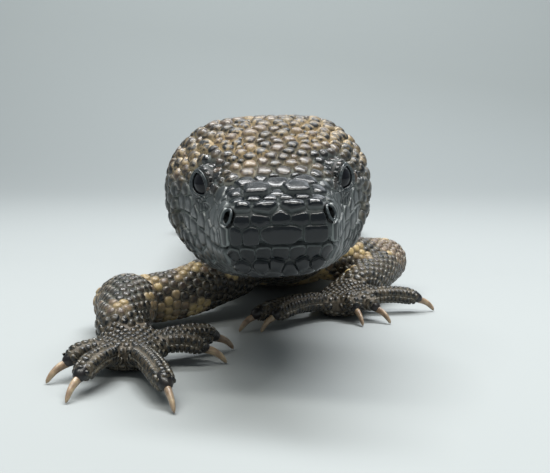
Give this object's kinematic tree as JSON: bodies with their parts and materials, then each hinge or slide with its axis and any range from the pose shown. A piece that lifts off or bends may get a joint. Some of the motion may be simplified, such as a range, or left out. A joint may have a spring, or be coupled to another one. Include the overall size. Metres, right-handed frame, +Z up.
{
  "type": "rio fuerte beaded lizard",
  "caption": "Life-size still model of an adult beaded lizard lying on its belly with raised head, splayed clawed feet and a blunt swinging tail, for display.",
  "frame": {"origin": "on the ground under the middle of the belly, on the flat that the belly rests on", "axes": "+Z up, -Y towards the snout, +X to the animal's left"},
  "size_m": [0.117, 0.5583, 0.0613],
  "materials": {
    "dark_skin": "beaded, dark grey-brown, satin to glossy",
    "banded_skin": "beaded, dark brown with blurred yellow bands",
    "eye": "glossy near-black"
  },
  "bodies": {
    "root": {"head": "dark_skin", "lower_jaw": "dark_skin", "eye_left": "eye", "eye_right": "eye", "neck": "banded_skin", "torso": "banded_skin", "tail_base": "banded_skin", "tail_tip": "banded_skin", "upper_arm_left": "dark_skin", "upper_arm_right": "dark_skin", "forearm_left": "dark_skin", "forearm_right": "dark_skin", "hand_left": "dark_skin", "hand_right": "dark_skin", "thigh_left": "dark_skin", "thigh_right": "dark_skin", "shank_left": "dark_skin", "shank_right": "dark_skin", "foot_left": "dark_skin", "foot_right": "dark_skin"}
  },
  "joints": []
}
